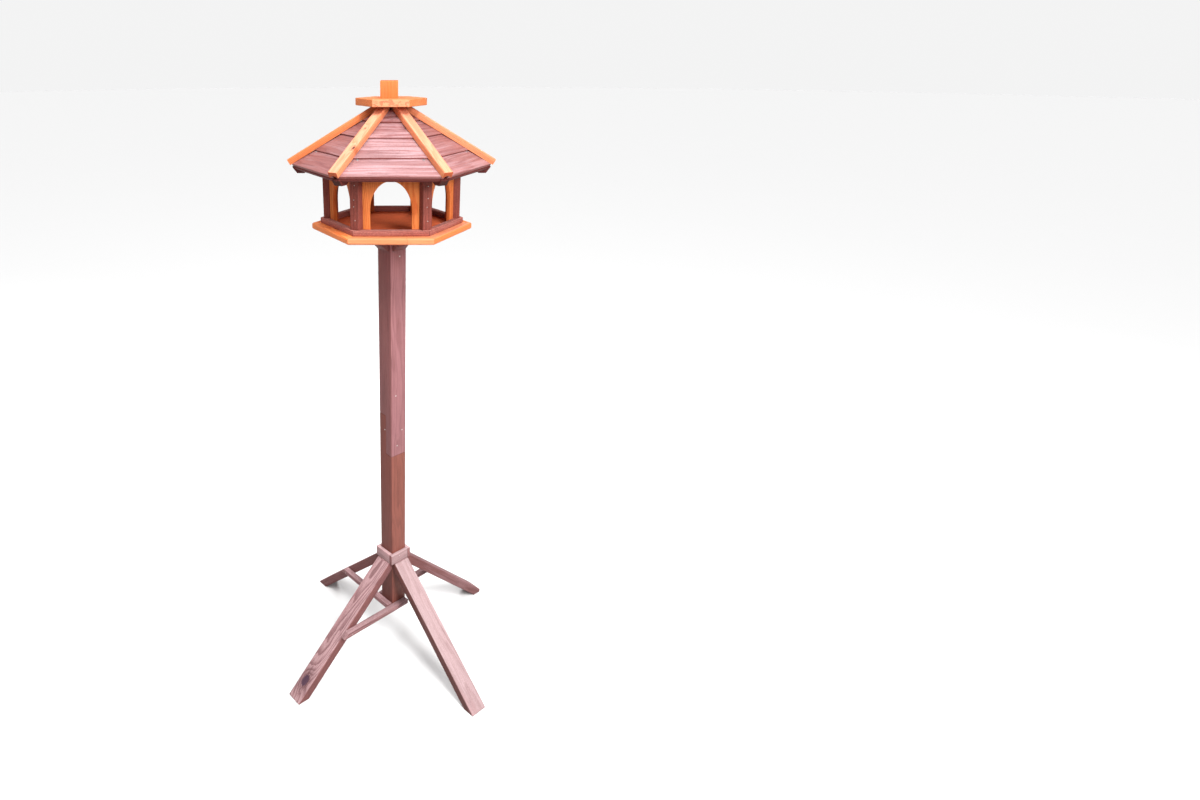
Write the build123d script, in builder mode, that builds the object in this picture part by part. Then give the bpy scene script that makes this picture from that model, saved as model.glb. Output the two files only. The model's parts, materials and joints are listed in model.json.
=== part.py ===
from build123d import *

import os
from math import cos, hypot, radians, sin, tan

# Wooden bird feeder: a six-sided house with arched walls, on a four-legged stand.
# Millimetres, +Z up, origin on the ground under the mast, front towards -Y.

os.makedirs("parts", exist_ok=True)

SIDES = 6
HALF_SIDE = 30.0

# Heights above the ground
base_top = 1224.0
eave_height = base_top + 132.4
cap_bottom = base_top + 254.3
collar_top = 325.0
brace_top = 156.0
lap_top = 736.0
lap_bottom = 625.0

# Base border and floor
border_corner = 183.0
border_thick = 15.0
border_round = 4.5

# Rim, corner posts and arched walls
rim_corner = 163.0
rim_height = 12.0
post_size = 22.0
post_outer = 154.0
post_round = 1.2
wall_apothem = 126.0
wall_thick = 9.5
arch_radius = 44.0
arch_spring = base_top + 50.0
arch_rise = 62.0

# Roof
roof_corner = 225.0
roof_slope = 34.2
board_low_thick = 7.5
board_high_thick = 5.0
board_gap = 0.6
board_steps = (0.0, 53.5, 114.5, 164.5)
board_top_apothem = 15.5
hip_clearance = 4.0

# Battens under the eave and rafters under the hips
eave_batten_thick = 6.0
eave_batten_width = 22.0
eave_batten_inset = 2.8
mitre_gap = 0.4
rafter_width = 19.0
rafter_sole = base_top + 112.0
rafter_sole_inner = 193.6
rafter_sole_outer = 209.5
rafter_nose = 219.0
rafter_head = 21.0

# Battens over the hips
hip_batten_width = 21.0
hip_batten_height = 10.2
hip_batten_end = 225.5
hip_batten_head = 24.0
hip_groove_relief = 2.5
hip_groove_round = 3.0
hip_batten_round = 1.5

# Cap and finial
cap_corner = 77.2
cap_thick = 15.1
cap_round = 1.5
finial_size = 38.0
finial_height = 35.0
finial_offset = -4.0

# Stand
stand_turn = 40.5
mast_size = 47.0
lap_slant = 2.0
cleat_thick = 16.0
cleat_width = 36.0
cleat_height = 45.0
cleat_bevel = 12.0
collar_thick = 9.5
collar_height = 29.0
leg_tilt = 46.5
leg_thick = 24.4
leg_shoulder = 36.0
toe_rounds = [6.0, 2.0, 2.0, 2.0]
brace_thick = 16.0
brace_height = 14.0
brace_stop = 2.5
brace_shorts = [13.0, 0.0, -4.0]

# Worked out from the above
tan_side = tan(radians(HALF_SIDE))
cos_side = cos(radians(HALF_SIDE))
pitch = tan(radians(roof_slope))
hip_pitch = pitch * cos_side
eave_apothem = roof_corner * cos_side
board_drop = board_low_thick / cos(radians(roof_slope))
base_bottom = base_top - border_thick
border_apothem = border_corner * cos_side
rim_apothem = rim_corner * cos_side
mast_half = mast_size / 2
collar_bottom = collar_top - collar_height
brace_bottom = brace_top - brace_height
side_azimuths = [HALF_SIDE + 60 * side for side in range(SIDES)]
corner_azimuths = [60 * corner for corner in range(SIDES)]
stand_azimuths = [stand_turn + 90 * face for face in range(4)]


def level_plane(azimuth, height=0.0):
    """Level plane whose local x points along the azimuth."""
    angle = radians(azimuth)
    return Plane(origin=(0, 0, height), x_dir=(cos(angle), sin(angle), 0), z_dir=(0, 0, 1))


def radial_plane(azimuth):
    """Upright plane through the axis: local x points outwards, local y points up."""
    angle = radians(azimuth)
    return Plane(origin=(0, 0, 0), x_dir=(cos(angle), sin(angle), 0), z_dir=(sin(angle), -cos(angle), 0))


def face_plane(azimuth, distance):
    """Upright plane facing outwards at a distance: local x is tangential, local y is up."""
    angle = radians(azimuth)
    origin = (distance * cos(angle), distance * sin(angle), 0)
    return Plane(origin=origin, x_dir=(-sin(angle), cos(angle), 0), z_dir=(cos(angle), sin(angle), 0))


def roof_top(apothem):
    """Height of the boards' upper arrises at a distance from the axis, square to a side."""
    return eave_height + (eave_apothem - apothem) * pitch


def roof_under(apothem):
    """Height of the boards' common underside."""
    return roof_top(apothem) - board_drop


def hip_under(radius):
    """Height of the line where two undersides meet below a hip."""
    return eave_height - board_drop + (roof_corner - radius) * hip_pitch


def rafter_under(radius):
    """Height of a hip rafter's sloping underside."""
    return rafter_sole + (rafter_sole_inner - radius) * hip_pitch


def sector(inner, outer, side_gap):
    """Draw one side's share of the plan, between two apothems, a gap away from the hips."""
    back = side_gap / cos_side
    half_inner = max(inner * tan_side - back, 0.1)
    half_outer = outer * tan_side - back
    Polygon((inner, -half_inner), (outer, -half_outer), (outer, half_outer), (inner, half_inner), align=None)


def save(piece, name):
    """Label a finished piece and write it."""
    piece.part.label = name
    export_step(piece.part, f"parts/{name}.step")


def make_border(number, azimuth):
    """Mitred batten of the base border, with its outer arrises rounded."""
    with BuildPart() as border:
        with BuildSketch(level_plane(azimuth, base_bottom)):
            sector(wall_apothem, border_apothem, 0.0)
        extrude(amount=border_thick)
        outside = border.faces().sort_by(SortBy.AREA)
        angle = radians(azimuth)
        outward = Vector(cos(angle), sin(angle), 0)
        outer_face = [face for face in outside if face.normal_at().dot(outward) > 0.99][0]
        arrises = [edge for edge in outer_face.edges() if abs(edge.tangent_at(0.5).Z) < 0.5]
        fillet(arrises, radius=border_round)
    save(border, f"base_border_{number}")


def make_floor():
    """Six-sided floor inside the border, flush with its top."""
    with BuildPart() as floor:
        with BuildSketch(Plane.XY.offset(base_bottom)):
            RegularPolygon(radius=wall_apothem / cos_side, side_count=SIDES)
        extrude(amount=border_thick)
    save(floor, "floor")


def make_rim():
    """Six mitred battens on the border, around the feet of the walls and posts."""
    with BuildPart() as rim:
        for azimuth in side_azimuths:
            with BuildSketch(level_plane(azimuth, base_top)):
                sector(wall_apothem, rim_apothem, mitre_gap / 2)
        extrude(amount=rim_height)
        for azimuth in corner_azimuths:
            with BuildSketch(level_plane(azimuth, base_top)):
                with Locations((post_outer - post_size / 2, 0)):
                    Rectangle(post_size, post_size)
            extrude(amount=rim_height, mode=Mode.SUBTRACT)
    save(rim, "rim_battens")


def make_post(number, azimuth):
    """Square corner post over the floor's corner, cut at the top to the slope of the hip rafter."""
    inner = post_outer - post_size
    with BuildPart() as post:
        with BuildSketch(radial_plane(azimuth)):
            Polygon(
                (inner, base_top),
                (post_outer, base_top),
                (post_outer, rafter_under(post_outer)),
                (inner, rafter_under(inner)),
                align=None,
            )
        extrude(amount=post_size / 2, both=True)
        angle = radians(azimuth)
        outward = Vector(cos(angle), sin(angle), 0)
        uprights = post.edges().filter_by(Axis.Z).sort_by(lambda edge: edge.center().dot(outward))
        fillet(uprights[-2:], radius=post_round)
    save(post, f"corner_post_{number}")


def make_wall(number, azimuth):
    """Wall panel with a tall round-headed arch, its ends fitted to the posts and its top to the roof."""
    wall_head = roof_under(wall_apothem - wall_thick) + 1
    with BuildPart() as wall:
        with BuildSketch(level_plane(azimuth, base_top)):
            sector(wall_apothem - wall_thick, wall_apothem, post_size / 2)
        extrude(amount=wall_head - base_top)
        with BuildSketch(face_plane(azimuth, wall_apothem)):
            with Locations((0, (base_top + arch_spring) / 2)):
                Rectangle(2 * arch_radius, arch_spring - base_top)
            with Locations((0, arch_spring)):
                Ellipse(arch_radius, arch_rise)
        extrude(amount=-wall_thick, mode=Mode.SUBTRACT)
        with BuildSketch(radial_plane(azimuth)):
            Polygon(
                (0, roof_under(0)),
                (eave_apothem, roof_under(eave_apothem)),
                (eave_apothem, roof_under(0)),
                align=None,
            )
        extrude(amount=roof_corner, both=True, mode=Mode.SUBTRACT)
    save(wall, f"arched_wall_{number}")


def eave_batten_profile():
    """Draw the section of the batten that lies under the lowest boards."""
    slope = radians(roof_slope)
    outer = eave_apothem - eave_batten_inset
    down = (-eave_batten_thick * sin(slope), -eave_batten_thick * cos(slope))
    inward = (-eave_batten_width * cos(slope), eave_batten_width * sin(slope))
    top = (outer, roof_under(outer))
    Polygon(
        top,
        (top[0] + down[0], top[1] + down[1]),
        (top[0] + down[0] + inward[0], top[1] + down[1] + inward[1]),
        (top[0] + inward[0], top[1] + inward[1]),
        align=None,
    )


def make_eave_batten(azimuth, side_gap):
    """One eave batten, mitred at the hips with a gap on each side."""
    with BuildPart() as batten:
        with BuildSketch(radial_plane(azimuth)):
            eave_batten_profile()
        extrude(amount=roof_corner, both=True)
        with BuildSketch(level_plane(azimuth, base_top)):
            sector(eave_apothem / 2, eave_apothem, side_gap)
        extrude(amount=cap_bottom - base_top, mode=Mode.INTERSECT)
    return batten.part


def make_eave_battens():
    """Six battens under the eave."""
    with BuildPart() as battens:
        for azimuth in side_azimuths:
            add(make_eave_batten(azimuth, mitre_gap / 2))
    save(battens, "eave_battens")


def make_rafters():
    """Six hip rafters with level soles past the posts and tops backed to both slopes."""
    low = base_top
    with BuildPart() as rafter:
        with BuildSketch(radial_plane(0)):
            Polygon(
                (rafter_head, rafter_under(rafter_head)),
                (rafter_sole_inner, rafter_sole),
                (rafter_sole_outer, rafter_sole),
                (rafter_nose, hip_under(rafter_nose) - board_drop / 3),
                (rafter_nose, hip_under(rafter_nose)),
                (rafter_head, hip_under(rafter_head)),
                align=None,
            )
        extrude(amount=rafter_width / 2, both=True)
        with BuildSketch(Plane.XY.offset(low)):
            RegularPolygon(radius=roof_corner + (hip_under(roof_corner) - low) / hip_pitch, side_count=SIDES)
        with BuildSketch(Plane.XY.offset(hip_under(rafter_head / 2))):
            RegularPolygon(radius=rafter_head / 2, side_count=SIDES)
        loft(mode=Mode.INTERSECT)
        add(make_eave_batten(HALF_SIDE, 0.0), mode=Mode.SUBTRACT)
        add(make_eave_batten(-HALF_SIDE, 0.0), mode=Mode.SUBTRACT)
    with BuildPart() as rafters:
        with PolarLocations(0, SIDES):
            add(rafter.part)
    save(rafters, "hip_rafters")


def make_slope(number, azimuth):
    """One roof slope of four tapered boards, each a step proud of the next one up."""
    slope = radians(roof_slope)
    length = (eave_apothem - board_top_apothem) / cos(slope)
    steps = list(board_steps) + [length]
    base = Vector(eave_apothem, roof_top(eave_apothem))
    along = Vector(-cos(slope), sin(slope))
    down = Vector(-sin(slope), -cos(slope))
    with BuildPart() as boards:
        with BuildSketch(radial_plane(azimuth)):
            for lower, upper in zip(steps[:-1], steps[1:]):
                low_edge = base + along * lower
                high_edge = base + along * (upper - board_gap)
                corners = (
                    low_edge,
                    low_edge + down * board_low_thick,
                    high_edge + down * board_low_thick,
                    high_edge + down * (board_low_thick - board_high_thick),
                )
                Polygon(*[(corner.X, corner.Y) for corner in corners], align=None)
        extrude(amount=roof_corner, both=True)
        with BuildSketch(level_plane(azimuth, base_top)):
            sector(board_top_apothem / 2, roof_corner, hip_clearance)
        extrude(amount=cap_bottom - base_top, mode=Mode.INTERSECT)
    save(boards, f"roof_slope_{number}")


def make_hip_batten(number, azimuth):
    """Batten over a hip: V groove below, square lower end, upper end cut level under the cap."""
    angle = radians(azimuth)
    hip = radians(Vector(1, 0).get_angle(Vector(1, hip_pitch)))
    half = hip_batten_width / 2
    fall = half * hip_fall()
    end_height = eave_height + (roof_corner - hip_batten_end) * hip_pitch
    section_plane = Plane(
        origin=(hip_batten_end * cos(angle), hip_batten_end * sin(angle), end_height),
        x_dir=(sin(angle), -cos(angle), 0),
        z_dir=(-cos(hip) * cos(angle), -cos(hip) * sin(angle), sin(hip)),
    )
    with BuildPart() as batten:
        with BuildSketch(section_plane):
            with BuildLine():
                Polyline(
                    (half, -fall),
                    (half, hip_batten_height),
                    (-half, hip_batten_height),
                    (-half, -fall),
                    (0, hip_groove_relief),
                    close=True,
                )
            make_face()
        extrude(amount=hypot(hip_batten_end, hip_batten_end * hip_pitch))
        along = Vector(section_plane.z_dir)
        top_face = [
            face for face in batten.faces() if face.normal_at().dot(Vector(section_plane.y_dir)) > 0.99
        ][0]
        arrises = [edge for edge in top_face.edges() if abs(edge.tangent_at(0.5).dot(along)) > 0.99]
        fillet(arrises, radius=hip_batten_round)
        lengthwise = [edge for edge in batten.edges() if abs(edge.tangent_at(0.5).dot(along)) > 0.99]
        sideways = Vector(section_plane.x_dir)
        lowest = sorted(lengthwise, key=lambda edge: edge.center().dot(Vector(section_plane.y_dir)))[:3]
        groove = min(lowest, key=lambda edge: abs(edge.center().dot(sideways)))
        fillet(groove, radius=hip_groove_round)
        split(bisect_by=Plane.XY.offset(cap_bottom), keep=Keep.BOTTOM)
        split(bisect_by=face_plane(azimuth, hip_batten_head), keep=Keep.TOP)
    save(batten, f"hip_batten_{number}")


def hip_fall():
    """Fall of the roof's surface to each side of a hip, measured square to the hip."""
    slope = radians(roof_slope)
    hip = radians(Vector(1, 0).get_angle(Vector(1, hip_pitch)))
    sideways = sin(slope) * sin(radians(HALF_SIDE))
    upright = sin(slope) * cos_side * sin(hip) + cos(slope) * cos(hip)
    return sideways / upright


def make_cap():
    """Six-sided cap on the upper ends of the hip battens."""
    with BuildPart() as cap:
        with BuildSketch(Plane.XY.offset(cap_bottom)):
            RegularPolygon(radius=cap_corner, side_count=SIDES)
        extrude(amount=cap_thick)
        fillet(cap.edges().filter_by(Plane.XY), radius=cap_round)
    save(cap, "cap")


def make_finial():
    """Block on the cap, fixed a little off centre."""
    with BuildPart() as finial:
        with BuildSketch(Plane.XY.offset(cap_bottom + cap_thick)):
            with Locations((finial_offset, 0)):
                Rectangle(finial_size, finial_size)
        extrude(amount=finial_height)
        fillet(finial.faces().sort_by(Axis.Z)[-1].edges(), radius=cap_round)
    save(finial, "finial")


def make_mast():
    """Square mast of two lengths, half-lapped together with slightly slanting shoulders."""
    tongue_plane = radial_plane(stand_azimuths[3])
    with BuildPart() as upper:
        with BuildSketch(tongue_plane):
            Polygon(
                (-mast_half, base_bottom),
                (mast_half, base_bottom),
                (mast_half, lap_bottom),
                (0, lap_bottom + lap_slant),
                (0, lap_top),
                (-mast_half, lap_top + lap_slant),
                align=None,
            )
        extrude(amount=mast_half, both=True)
    save(upper, "mast_upper")
    with BuildPart() as lower:
        with BuildSketch(tongue_plane):
            Polygon(
                (-mast_half, brace_bottom),
                (mast_half, brace_bottom),
                (mast_half, lap_bottom),
                (0, lap_bottom + lap_slant),
                (0, lap_top),
                (-mast_half, lap_top + lap_slant),
                align=None,
            )
        extrude(amount=mast_half, both=True)
    save(lower, "mast_lower")


def make_cleats():
    """Four cleats on the mast's head, under the floor, bevelled at the lower end."""
    bottom = base_bottom - cleat_height
    outer = mast_half + cleat_thick
    with BuildPart() as cleats:
        for azimuth in stand_azimuths:
            with BuildSketch(radial_plane(azimuth)):
                Polygon(
                    (mast_half, bottom),
                    (outer - cleat_bevel, bottom),
                    (outer, bottom + cleat_bevel),
                    (outer, base_bottom),
                    (mast_half, base_bottom),
                    align=None,
                )
            extrude(amount=cleat_width / 2, both=True)
    save(cleats, "mast_cleats")


def make_collar():
    """Four battens round the mast over the legs, each running past the next at a corner."""
    outer = mast_half + collar_thick
    with BuildPart() as collar:
        for azimuth in stand_azimuths:
            with BuildSketch(level_plane(azimuth, collar_bottom)):
                Polygon(
                    (mast_half, -outer),
                    (outer, -outer),
                    (outer, mast_half - mitre_gap),
                    (mast_half, mast_half - mitre_gap),
                    align=None,
                )
        extrude(amount=collar_height)
    save(collar, "leg_collar")


def make_leg(number, azimuth):
    """Splayed leg: head cut to the mast's face and the collar, foot cut level, toe eased or worn round."""
    run = tan(radians(leg_tilt))
    toe = leg_shoulder + collar_bottom * run
    heel = toe - leg_thick / cos(radians(leg_tilt))
    with BuildPart() as leg:
        with BuildSketch(radial_plane(azimuth)):
            Polygon(
                (mast_half, collar_bottom),
                (leg_shoulder, collar_bottom),
                (toe, 0),
                (heel, 0),
                (mast_half, (heel - mast_half) / run),
                align=None,
            )
            fillet(vertices().sort_by(Axis.X)[-1], toe_rounds[number - 1])
        extrude(amount=mast_half, both=True)
    save(leg, f"leg_{number}")


def make_braces():
    """Three level braces, each from one leg's side across the mast's next face."""
    run = tan(radians(leg_tilt))
    reach_top = leg_shoulder + (collar_bottom - brace_top) * run
    reach_bottom = leg_shoulder + (collar_bottom - brace_bottom) * run
    near_end = mast_half - brace_stop
    with BuildPart() as braces:
        for azimuth, short in zip(stand_azimuths[1:], brace_shorts):
            with BuildSketch(face_plane(azimuth, mast_half)):
                Polygon(
                    (near_end, brace_bottom),
                    (near_end, brace_top),
                    (short - reach_top, brace_top),
                    (short - reach_bottom, brace_bottom),
                    align=None,
                )
            extrude(amount=brace_thick)
    save(braces, "leg_braces")


for index, side_azimuth in enumerate(side_azimuths, start=1):
    make_border(index, side_azimuth)
    make_wall(index, side_azimuth)
    make_slope(index, side_azimuth)
for index, corner_azimuth in enumerate(corner_azimuths, start=1):
    make_post(index, corner_azimuth)
    make_hip_batten(index, corner_azimuth)
make_floor()
make_rim()
make_eave_battens()
make_rafters()
make_cap()
make_finial()
make_mast()
make_cleats()
make_collar()
for index, stand_azimuth in enumerate(stand_azimuths, start=1):
    make_leg(index, stand_azimuth)
make_braces()
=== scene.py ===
"""A garden bird feeder in stained pine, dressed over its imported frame.

Every timber starts as a copy of its solid in the frame. The copy gets eased arrises and the details that
the solid leaves out, and it is marked with the place that it had in the log it was sawn from. The finishes
read that mark, so the growth rings run along each timber, bend round its knots and show as arcs on its end
grain. Nails and screws are modelled once each and copied to their places. Lengths are in metres, azimuths in
degrees, and the colours of the wood are the 0 to 255 values that a screen shows.
"""
from __future__ import annotations

import json
import logging
import math
from contextlib import contextmanager
from dataclasses import dataclass, field, replace
from enum import Enum
from typing import Any, Callable, Iterable, Iterator, Sequence

import bpy
from mathutils import Matrix, Vector

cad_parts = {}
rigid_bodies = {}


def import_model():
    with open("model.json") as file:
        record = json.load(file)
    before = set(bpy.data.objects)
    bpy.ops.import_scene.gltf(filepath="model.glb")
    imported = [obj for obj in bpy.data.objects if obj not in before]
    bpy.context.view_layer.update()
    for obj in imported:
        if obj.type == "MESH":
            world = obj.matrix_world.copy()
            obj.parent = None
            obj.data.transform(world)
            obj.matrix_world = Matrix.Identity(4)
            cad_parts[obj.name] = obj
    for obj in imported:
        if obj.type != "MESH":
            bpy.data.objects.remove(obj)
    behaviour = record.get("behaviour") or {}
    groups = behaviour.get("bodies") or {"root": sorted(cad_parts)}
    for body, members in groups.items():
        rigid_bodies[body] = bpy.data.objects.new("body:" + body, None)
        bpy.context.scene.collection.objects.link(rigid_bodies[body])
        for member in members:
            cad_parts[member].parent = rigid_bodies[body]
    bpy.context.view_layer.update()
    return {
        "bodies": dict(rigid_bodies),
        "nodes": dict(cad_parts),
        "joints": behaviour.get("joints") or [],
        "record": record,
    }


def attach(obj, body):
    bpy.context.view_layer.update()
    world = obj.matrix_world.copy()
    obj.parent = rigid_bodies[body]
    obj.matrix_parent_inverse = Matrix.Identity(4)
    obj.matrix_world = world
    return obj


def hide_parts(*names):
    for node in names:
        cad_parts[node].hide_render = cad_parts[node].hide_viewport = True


log = logging.getLogger("bird_feeder")

SIDES: tuple[int, ...] = (30, 90, 150, 210, 270, 330)
CORNERS: tuple[int, ...] = (0, 60, 120, 180, 240, 300)
FACES: tuple[float, ...] = (40.5, 130.5, 220.5, 310.5)
UP = Vector((0.0, 0.0, 1.0))
HALF_SIDE = math.radians(30.0)
ROOF_PITCH = math.radians(34.2)
HIP_PITCH = math.atan(math.tan(ROOF_PITCH) * math.cos(HALF_SIDE))
LEG_PITCH = math.radians(43.5)
LOT_PITCH = 0.8

Triple = tuple[float, float, float]
Span = tuple[float, float]
Piece = bpy.types.Object


def radial(azimuth: float) -> Vector:
    """Return the level unit vector that points outwards at an azimuth."""
    return Vector((math.cos(math.radians(azimuth)), math.sin(math.radians(azimuth)), 0.0))


def tangent(azimuth: float) -> Vector:
    """Return the level unit vector square to the outward one, anticlockwise from above."""
    return Vector((-math.sin(math.radians(azimuth)), math.cos(math.radians(azimuth)), 0.0))


def spot(azimuth: float, out: float, across: float, height: float) -> Vector:
    """Return the point this far out and across at an azimuth, and this high."""
    return radial(azimuth) * out + tangent(azimuth) * across + UP * height


def climb(azimuth: float, pitch: float) -> Vector:
    """Return the direction up a slope that faces an azimuth."""
    return radial(azimuth) * -math.cos(pitch) + UP * math.sin(pitch)


def off_slope(azimuth: float, pitch: float) -> Vector:
    """Return the outward direction square to a slope that faces an azimuth."""
    return radial(azimuth) * math.sin(pitch) + UP * math.cos(pitch)


def turn_of(point: Vector) -> float:
    """Return the azimuth of a point, counted from 5 degrees before the first corner."""
    return (math.degrees(math.atan2(point.y, point.x)) + 5.0) % 360.0


def shade(screen: Triple, dimmed: float = 1.0) -> Triple:
    """Return the linear colour of the values that a screen shows.

    Args:
        screen: Red, green and blue from 0 to 255.
        dimmed: Factor on the linear colour.

    Returns:
        The linear colour.
    """
    parts = (value / 255.0 for value in screen)
    linear = (part / 12.92 if part <= 0.04045 else ((part + 0.055) / 1.055) ** 2.4 for part in parts)
    return tuple(part * dimmed for part in linear)


@contextmanager
def editing() -> Iterator[None]:
    """Work in edit mode, and come back to object mode."""
    bpy.ops.object.mode_set(mode="EDIT")
    yield
    bpy.ops.object.mode_set(mode="OBJECT")


class Stain(Enum):
    """The stains, named as the record names its slots."""

    HONEY = "honey_wood"
    PLUM = "plum_wood"
    ROOF = "roof_stain"
    FLOOR = "floor_stain"
    MAST = "mast_stain"
    RED_MAST = "red_mast_stain"
    LEG = "leg_stain"


class Look(Enum):
    """The finishes, named as their materials."""

    HONEY = "honey_pine"
    AMBER = "amber_pine"
    FIGURED = "figured_pine"
    PLUM = "plum_pine"
    DEEP_PLUM = "deep_plum_pine"
    ROSY_PLUM = "rosy_plum_pine"
    ROOF = "rosy_boards"
    FLOOR = "red_floor"
    MAST = "plum_mast"
    RED_MAST = "red_mast"
    LEG = "rosy_rough_pine"
    PALE_LEG = "pale_rough_pine"
    BRIGHT = "bright_nail"
    ZINC = "dull_zinc"
    DARK = "dark_screw"


@dataclass(frozen=True)
class Batch:
    """Timbers that are made alike, each out of its own node or of its own solid of one node.

    Args:
        name: Name of the pieces, with braces for the number.
        node: Name of their nodes, with braces for the number where each has its own.
        stain: The record's slot that they belong to.
        look: Their finish.
        lot: Number of the first timber; timbers with different numbers show different wood.
        easing: Width of their eased arrises.
        heart: Distance of their middles from the pith, across the face and through the timber.
        segments: Number of faces across the easing.
    """

    name: str
    node: str
    stain: Stain
    look: Look
    lot: int
    easing: float
    heart: Span = (0.004, 0.06)
    segments: int = 2


@dataclass(frozen=True)
class ToneAndPaintedLight:
    """A timber's own tone, and the light and shade painted on its sides by the way they look.

    Args:
        tone: How much paler (above 0) or darker (below 0) it is than its finish.
        painted_light: How far the sides that look along `lit_way` take the finish's pale colour: painted
            light, and painted shade where that colour is deeper.
        least: How far the other sides take that colour.
        lit_way: Direction in which those painted sides look.
    """

    tone: float = 0.0
    painted_light: float = 0.0
    least: float = 0.0
    lit_way: Vector = field(default_factory=UP.copy)

    def painted_light_on(self, way: Vector) -> float:
        """Return how much painted light and shade a side gets from the direction it looks in."""
        turned = min(max((way.dot(self.lit_way.normalized()) - 0.5) / 0.4, 0.0), 1.0)
        return self.least + (self.painted_light - self.least) * turned


@dataclass(frozen=True)
class Timber:
    """One length of wood: how it lies, and where in the log it was sawn.

    Args:
        lot: Number of the timber.
        grain: Direction of the grain.
        face: Direction of the broad face that looks away from the pith.
        origin: A point in the middle of the timber.
        heart: Distance of the origin from the pith, across the face and through the timber.
    """

    lot: int
    grain: Vector
    face: Vector
    origin: Vector
    heart: Span

    def place(self, point: Vector) -> Triple:
        """Return the place in the log of a point on the timber.

        Args:
            point: The point.

        Returns:
            Its distance along the log, and its distances across and through it from the pith.
        """
        along = self.grain.normalized()
        through = (self.face - along * self.face.dot(along)).normalized()
        reach = point - self.origin
        aside = reach.dot(through.cross(along)) + self.heart[0]
        return reach.dot(along) + self.lot * LOT_PITCH, aside, reach.dot(through) + self.heart[1]


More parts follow.
